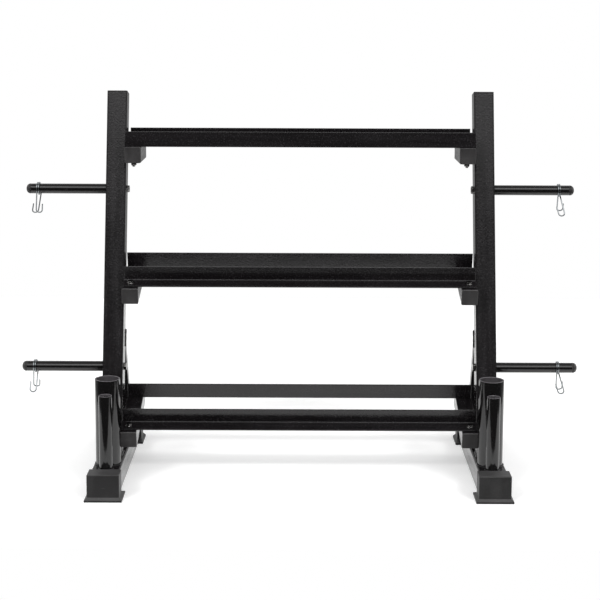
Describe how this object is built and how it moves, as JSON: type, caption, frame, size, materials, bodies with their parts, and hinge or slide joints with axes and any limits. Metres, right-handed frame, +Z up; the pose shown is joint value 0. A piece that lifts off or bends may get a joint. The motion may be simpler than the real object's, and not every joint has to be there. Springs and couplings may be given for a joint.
{
  "type": "weight storage rack",
  "caption": "Tiered steel rack for dumbbells: tilted angle-iron shelves on leaning uprights, side pegs with spring clips for plates, and a wide and a narrow upright tube on each foot rail for bars.",
  "frame": {"origin": "on the floor, under the middle of the rack's bounding box", "axes": "+X to the rack's right as seen from its front, along the shelves; +Y to the rear; +Z up"},
  "size_m": [1.3726, 0.552, 0.9435],
  "materials": {
    "powder_coat": "black powder coat, satin, finely mottled",
    "gloss_coat": "smooth gloss black coat",
    "foot_plastic": "matte dark grey moulded plastic",
    "cap_plastic": "satin black moulded plastic",
    "fastener": "dark blackened steel",
    "spring_wire": "bright chromed spring wire"
  },
  "bodies": {
    "rack": {"base_tube_left": "powder_coat", "base_tube_right": "powder_coat", "foot_cap_front_left": "foot_plastic", "foot_cap_front_right": "foot_plastic", "foot_cap_rear_left": "foot_plastic", "foot_cap_rear_right": "foot_plastic", "upright_left": "powder_coat", "upright_right": "powder_coat", "upright_cap_left": "cap_plastic", "upright_cap_right": "cap_plastic", "rear_strut_left": "powder_coat", "rear_strut_right": "powder_coat", "bar_holder_left": "gloss_coat", "bar_holder_right": "gloss_coat", "shelf_arm_top_left": "powder_coat", "shelf_arm_top_right": "powder_coat", "shelf_arm_middle_left": "powder_coat", "shelf_arm_middle_right": "powder_coat", "shelf_arm_bottom_left": "powder_coat", "shelf_arm_bottom_right": "powder_coat", "arm_cap_top_left": "foot_plastic", "arm_cap_top_right": "foot_plastic", "arm_cap_middle_left": "foot_plastic", "arm_cap_middle_right": "foot_plastic", "arm_cap_bottom_left": "foot_plastic", "arm_cap_bottom_right": "foot_plastic", "shelf_rail_top_front": "powder_coat", "shelf_rail_top_rear": "powder_coat", "shelf_rail_middle_front": "powder_coat", "shelf_rail_middle_rear": "powder_coat", "shelf_rail_bottom_front": "powder_coat", "shelf_rail_bottom_rear": "powder_coat", "shelf_bolt_top_front_left": "fastener", "shelf_bolt_top_front_right": "fastener", "shelf_bolt_top_rear_left": "fastener", "shelf_bolt_top_rear_right": "fastener", "shelf_bolt_middle_front_left": "fastener", "shelf_bolt_middle_front_right": "fastener", "shelf_bolt_middle_rear_left": "fastener", "shelf_bolt_middle_rear_right": "fastener", "shelf_bolt_bottom_front_left": "fastener", "shelf_bolt_bottom_front_right": "fastener", "shelf_bolt_bottom_rear_left": "fastener", "shelf_bolt_bottom_rear_right": "fastener", "plate_peg_left_upper": "gloss_coat", "plate_peg_left_lower": "gloss_coat", "plate_peg_right_upper": "gloss_coat", "plate_peg_right_lower": "gloss_coat", "peg_cap_left_upper": "cap_plastic", "peg_cap_left_lower": "cap_plastic", "peg_cap_right_upper": "cap_plastic", "peg_cap_right_lower": "cap_plastic", "peg_bolt_left_upper": "fastener", "peg_bolt_left_lower": "fastener", "peg_bolt_right_upper": "fastener", "peg_bolt_right_lower": "fastener"},
    "clip_left_upper": {"spring_clip_left_upper": "spring_wire"},
    "clip_left_lower": {"spring_clip_left_lower": "spring_wire"},
    "clip_right_upper": {"spring_clip_right_upper": "spring_wire"},
    "clip_right_lower": {"spring_clip_right_lower": "spring_wire"}
  },
  "joints": [
    {"name": "clip_left_upper_slide", "type": "slide", "parent": "rack", "child": "clip_left_upper", "axis": [-1, 0, 0], "range_m": [-0.157, 0.045]},
    {"name": "clip_left_lower_slide", "type": "slide", "parent": "rack", "child": "clip_left_lower", "axis": [-1, 0, 0], "range_m": [-0.155, 0.047]},
    {"name": "clip_right_upper_slide", "type": "slide", "parent": "rack", "child": "clip_right_upper", "axis": [1, 0, 0], "range_m": [-0.15, 0.052]},
    {"name": "clip_right_lower_slide", "type": "slide", "parent": "rack", "child": "clip_right_lower", "axis": [1, 0, 0], "range_m": [-0.14, 0.062]}
  ]
}
